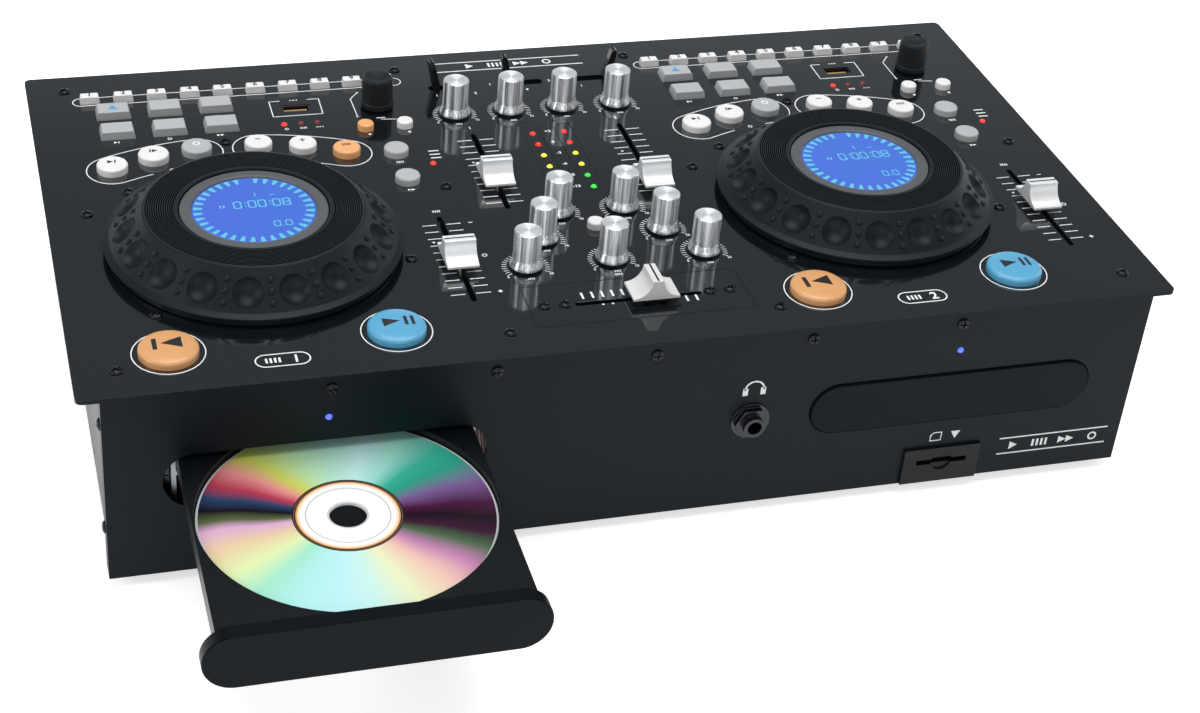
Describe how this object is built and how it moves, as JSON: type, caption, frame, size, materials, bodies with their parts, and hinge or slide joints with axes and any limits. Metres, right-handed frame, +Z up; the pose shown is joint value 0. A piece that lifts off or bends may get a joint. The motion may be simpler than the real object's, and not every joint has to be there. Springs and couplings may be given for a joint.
{
  "type": "tabletop dj cd player",
  "caption": "Tabletop twin disc player with built-in mixer: jog wheels with round displays, keys, knobs, faders and slide-out disc trays in the front.",
  "frame": {"origin": "middle of the bounding box's underside as it stands with the left tray out: on the floor under the feet", "axes": "+X to the player's right, +Y to its back, +Z up; the panels' widths run along X and the trays slide along Y"},
  "size_m": [0.4826, 0.3732, 0.1191],
  "materials": {
    "panel": "satin black paint",
    "case_paint": "satin black paint",
    "black_steel": "black zinc",
    "black_metal": "semi gloss black",
    "socket_metal": "plain",
    "drive_frame": "zinc plated",
    "turned_metal": "turned, bright",
    "silver_plastic": "silver",
    "circuit_board": "green solder mask",
    "grey_plastic": "satin",
    "screen": "clear window over a blue display",
    "lamp_red": "clear red",
    "black_plastic": "fine texture",
    "jog_plastic": "rubberised",
    "tray_plastic": "satin",
    "disc_clear": "mirrored polycarbonate",
    "rubber": "matt",
    "soft_rubber": "matt",
    "key_white": "satin",
    "key_grey": "satin",
    "key_orange": "lit from inside",
    "key_blue": "lit from inside"
  },
  "bodies": {
    "case": {"top_panel": "panel", "front_panel": "case_paint", "chassis": "case_paint", "rubber_feet": "rubber", "case_screws": "black_steel", "crossfader_plate": "panel", "deck_boards": "circuit_board", "mixer_board": "circuit_board", "power_supply": "circuit_board", "disc_drives": "drive_frame", "display_posts": "grey_plastic", "display_screens": "screen", "headphone_jack": "black_metal", "media_sockets": "socket_metal", "indicator_lamps": "lamp_red", "rear_sockets": "black_plastic"},
    "jog_left": {"jog_wheel_left": "jog_plastic"},
    "tray_left_carriage": {"tray_left": "tray_plastic", "tray_door_left": "tray_plastic"},
    "jog_right": {"jog_wheel_right": "jog_plastic"},
    "tray_right_carriage": {"tray_right": "tray_plastic", "tray_door_right": "tray_plastic"},
    "disc_body": {"disc": "disc_clear"},
    "gain_knob_1_body": {"gain_knob_1": "turned_metal"},
    "gain_knob_2_body": {"gain_knob_2": "turned_metal"},
    "mic_knob_body": {"mic_knob": "turned_metal"},
    "cue_level_knob_body": {"cue_level_knob": "turned_metal"},
    "high_knob_1_body": {"high_knob_1": "turned_metal"},
    "high_knob_2_body": {"high_knob_2": "turned_metal"},
    "mid_knob_1_body": {"mid_knob_1": "turned_metal"},
    "mid_knob_2_body": {"mid_knob_2": "turned_metal"},
    "low_knob_1_body": {"low_knob_1": "turned_metal"},
    "low_knob_2_body": {"low_knob_2": "turned_metal"},
    "master_knob_body": {"master_knob": "turned_metal"},
    "browse_knob_left_body": {"browse_knob_left": "soft_rubber"},
    "browse_knob_right_body": {"browse_knob_right": "soft_rubber"},
    "pitch_fader_left_body": {"pitch_fader_left": "silver_plastic"},
    "pitch_fader_right_body": {"pitch_fader_right": "silver_plastic"},
    "channel_fader_1_body": {"channel_fader_1": "silver_plastic"},
    "channel_fader_2_body": {"channel_fader_2": "silver_plastic"},
    "crossfader_body": {"crossfader": "silver_plastic"},
    "source_switch_1_lever": {"source_switch_1": "black_plastic"},
    "cue_switch_lever": {"cue_switch": "black_plastic"},
    "source_switch_2_lever": {"source_switch_2": "black_plastic"},
    "cue_key_left_body": {"cue_key_left": "key_orange"},
    "play_key_left_body": {"play_key_left": "key_blue"},
    "track_keys_left_body": {"track_keys_left": "key_white"},
    "function_keys_left_body": {"function_keys_left": "key_grey"},
    "loop_keys_left_body": {"loop_keys_left": "key_white"},
    "bend_keys_left_body": {"bend_keys_left": "key_white"},
    "mode_keys_left_body": {"mode_keys_left": "key_grey"},
    "cue_key_right_body": {"cue_key_right": "key_orange"},
    "play_key_right_body": {"play_key_right": "key_blue"},
    "track_keys_right_body": {"track_keys_right": "key_white"},
    "function_keys_right_body": {"function_keys_right": "key_grey"},
    "loop_keys_right_body": {"loop_keys_right": "key_white"},
    "bend_keys_right_body": {"bend_keys_right": "key_white"},
    "mode_keys_right_body": {"mode_keys_right": "key_grey"},
    "fader_start_key_body": {"fader_start_key": "key_white"},
    "power_rocker": {"power_switch": "black_plastic"}
  },
  "joints": [
    {"name": "jog_left_turn", "type": "hinge", "parent": "case", "child": "jog_left", "pos_m": [-0.1552, 0.02175, 0.1092], "axis": [0, 0, 1], "continuous": true},
    {"name": "tray_left_slide", "type": "slide", "parent": "case", "child": "tray_left_carriage", "axis": [0, 1, 0], "range_m": [0, 0.1084]},
    {"name": "jog_right_turn", "type": "hinge", "parent": "case", "child": "jog_right", "pos_m": [0.1264, 0.02175, 0.1092], "axis": [0, 0, 1], "continuous": true},
    {"name": "tray_right_slide", "type": "slide", "parent": "case", "child": "tray_right_carriage", "axis": [0, -1, 0], "range_m": [0, 0.1084]},
    {"name": "disc_spin", "type": "hinge", "parent": "tray_left_carriage", "child": "disc_body", "pos_m": [-0.1405, -0.11995, 0.0598], "axis": [0, 0, 1], "continuous": true},
    {"name": "gain_knob_1_turn", "type": "hinge", "parent": "case", "child": "gain_knob_1_body", "pos_m": [-0.0416, 0.12375, 0.1072], "axis": [0, 0, 1], "range_deg": [-150, 150]},
    {"name": "gain_knob_2_turn", "type": "hinge", "parent": "case", "child": "gain_knob_2_body", "pos_m": [0.0398, 0.12375, 0.1072], "axis": [0, 0, 1], "range_deg": [-150, 150]},
    {"name": "mic_knob_turn", "type": "hinge", "parent": "case", "child": "mic_knob_body", "pos_m": [-0.0143, 0.12375, 0.1072], "axis": [0, 0, 1], "range_deg": [-150, 150]},
    {"name": "cue_level_knob_turn", "type": "hinge", "parent": "case", "child": "cue_level_knob_body", "pos_m": [0.0125, 0.12375, 0.1072], "axis": [0, 0, 1], "range_deg": [-150, 150]},
    {"name": "high_knob_1_turn", "type": "hinge", "parent": "case", "child": "high_knob_1_body", "pos_m": [-0.0165, 0.02795, 0.1072], "axis": [0, 0, 1], "range_deg": [-150, 150]},
    {"name": "high_knob_2_turn", "type": "hinge", "parent": "case", "child": "high_knob_2_body", "pos_m": [0.0147, 0.02795, 0.1072], "axis": [0, 0, 1], "range_deg": [-150, 150]},
    {"name": "mid_knob_1_turn", "type": "hinge", "parent": "case", "child": "mid_knob_1_body", "pos_m": [-0.0293, 0.00695, 0.1072], "axis": [0, 0, 1], "range_deg": [-150, 150]},
    {"name": "mid_knob_2_turn", "type": "hinge", "parent": "case", "child": "mid_knob_2_body", "pos_m": [0.0275, 0.00695, 0.1072], "axis": [0, 0, 1], "range_deg": [-150, 150]},
    {"name": "low_knob_1_turn", "type": "hinge", "parent": "case", "child": "low_knob_1_body", "pos_m": [-0.042, -0.01375, 0.1072], "axis": [0, 0, 1], "range_deg": [-150, 150]},
    {"name": "low_knob_2_turn", "type": "hinge", "parent": "case", "child": "low_knob_2_body", "pos_m": [0.0402, -0.01375, 0.1072], "axis": [0, 0, 1], "range_deg": [-150, 150]},
    {"name": "master_knob_turn", "type": "hinge", "parent": "case", "child": "master_knob_body", "pos_m": [-0.0029, -0.01375, 0.1072], "axis": [0, 0, 1], "range_deg": [-150, 150]},
    {"name": "browse_knob_left_turn", "type": "hinge", "parent": "case", "child": "browse_knob_left_body", "pos_m": [-0.0773, 0.13705, 0.1072], "axis": [0, 0, 1], "continuous": true},
    {"name": "browse_knob_right_turn", "type": "hinge", "parent": "case", "child": "browse_knob_right_body", "pos_m": [0.2043, 0.13705, 0.1072], "axis": [0, 0, 1], "continuous": true},
    {"name": "pitch_fader_left_slide", "type": "slide", "parent": "case", "child": "pitch_fader_left_body", "axis": [0, 1, 0], "range_m": [-0.0265, 0.0335]},
    {"name": "pitch_fader_right_slide", "type": "slide", "parent": "case", "child": "pitch_fader_right_body", "axis": [0, 1, 0], "range_m": [-0.0323, 0.0277]},
    {"name": "channel_fader_1_slide", "type": "slide", "parent": "case", "child": "channel_fader_1_body", "axis": [0, 1, 0], "range_m": [-0.0202, 0.0398]},
    {"name": "channel_fader_2_slide", "type": "slide", "parent": "case", "child": "channel_fader_2_body", "axis": [0, 1, 0], "range_m": [-0.0082, 0.0518]},
    {"name": "crossfader_slide", "type": "slide", "parent": "case", "child": "crossfader_body", "axis": [1, 0, 0], "range_m": [-0.0296, 0.0184]},
    {"name": "source_switch_1_tilt", "type": "hinge", "parent": "case", "child": "source_switch_1_lever", "pos_m": [-0.0379, 0.15105, 0.0692], "axis": [0, 1, 0], "range_deg": [0, 25]},
    {"name": "cue_switch_tilt", "type": "hinge", "parent": "case", "child": "cue_switch_lever", "pos_m": [-0.0009, 0.15105, 0.0692], "axis": [0, 1, 0], "range_deg": [0, 25]},
    {"name": "source_switch_2_tilt", "type": "hinge", "parent": "case", "child": "source_switch_2_lever", "pos_m": [0.0361, 0.15105, 0.0692], "axis": [0, -1, 0], "range_deg": [0, 25]},
    {"name": "cue_key_left_press", "type": "slide", "parent": "case", "child": "cue_key_left_body", "axis": [0, 0, -1], "range_m": [0, 0.0012], "stiffness_N_per_m": 500, "springref_m": -0.001},
    {"name": "play_key_left_press", "type": "slide", "parent": "case", "child": "play_key_left_body", "axis": [0, 0, -1], "range_m": [0, 0.0012], "stiffness_N_per_m": 500, "springref_m": -0.001},
    {"name": "track_keys_left_press", "type": "slide", "parent": "case", "child": "track_keys_left_body", "axis": [0, 0, -1], "range_m": [0, 0.001], "stiffness_N_per_m": 500, "springref_m": -0.001},
    {"name": "function_keys_left_press", "type": "slide", "parent": "case", "child": "function_keys_left_body", "axis": [0, 0, -1], "range_m": [0, 0.001], "stiffness_N_per_m": 500, "springref_m": -0.001},
    {"name": "loop_keys_left_press", "type": "slide", "parent": "case", "child": "loop_keys_left_body", "axis": [0, 0, -1], "range_m": [0, 0.001], "stiffness_N_per_m": 500, "springref_m": -0.001},
    {"name": "bend_keys_left_press", "type": "slide", "parent": "case", "child": "bend_keys_left_body", "axis": [0, 0, -1], "range_m": [0, 0.001], "stiffness_N_per_m": 500, "springref_m": -0.001},
    {"name": "mode_keys_left_press", "type": "slide", "parent": "case", "child": "mode_keys_left_body", "axis": [0, 0, -1], "range_m": [0, 0.001], "stiffness_N_per_m": 500, "springref_m": -0.001},
    {"name": "cue_key_right_press", "type": "slide", "parent": "case", "child": "cue_key_right_body", "axis": [0, 0, -1], "range_m": [0, 0.0012], "stiffness_N_per_m": 500, "springref_m": -0.001},
    {"name": "play_key_right_press", "type": "slide", "parent": "case", "child": "play_key_right_body", "axis": [0, 0, -1], "range_m": [0, 0.0012], "stiffness_N_per_m": 500, "springref_m": -0.001},
    {"name": "track_keys_right_press", "type": "slide", "parent": "case", "child": "track_keys_right_body", "axis": [0, 0, -1], "range_m": [0, 0.001], "stiffness_N_per_m": 500, "springref_m": -0.001},
    {"name": "function_keys_right_press", "type": "slide", "parent": "case", "child": "function_keys_right_body", "axis": [0, 0, -1], "range_m": [0, 0.001], "stiffness_N_per_m": 500, "springref_m": -0.001},
    {"name": "loop_keys_right_press", "type": "slide", "parent": "case", "child": "loop_keys_right_body", "axis": [0, 0, -1], "range_m": [0, 0.001], "stiffness_N_per_m": 500, "springref_m": -0.001},
    {"name": "bend_keys_right_press", "type": "slide", "parent": "case", "child": "bend_keys_right_body", "axis": [0, 0, -1], "range_m": [0, 0.001], "stiffness_N_per_m": 500, "springref_m": -0.001},
    {"name": "mode_keys_right_press", "type": "slide", "parent": "case", "child": "mode_keys_right_body", "axis": [0, 0, -1], "range_m": [0, 0.001], "stiffness_N_per_m": 500, "springref_m": -0.001},
    {"name": "fader_start_key_press", "type": "slide", "parent": "case", "child": "fader_start_key_body", "axis": [0, 0, -1], "range_m": [0, 0.001], "stiffness_N_per_m": 500, "springref_m": -0.001},
    {"name": "power_switch_rock", "type": "hinge", "parent": "case", "child": "power_rocker", "pos_m": [-0.0463, 0.17235, 0.0392], "axis": [1, 0, 0], "range_deg": [0, 8.4]}
  ]
}
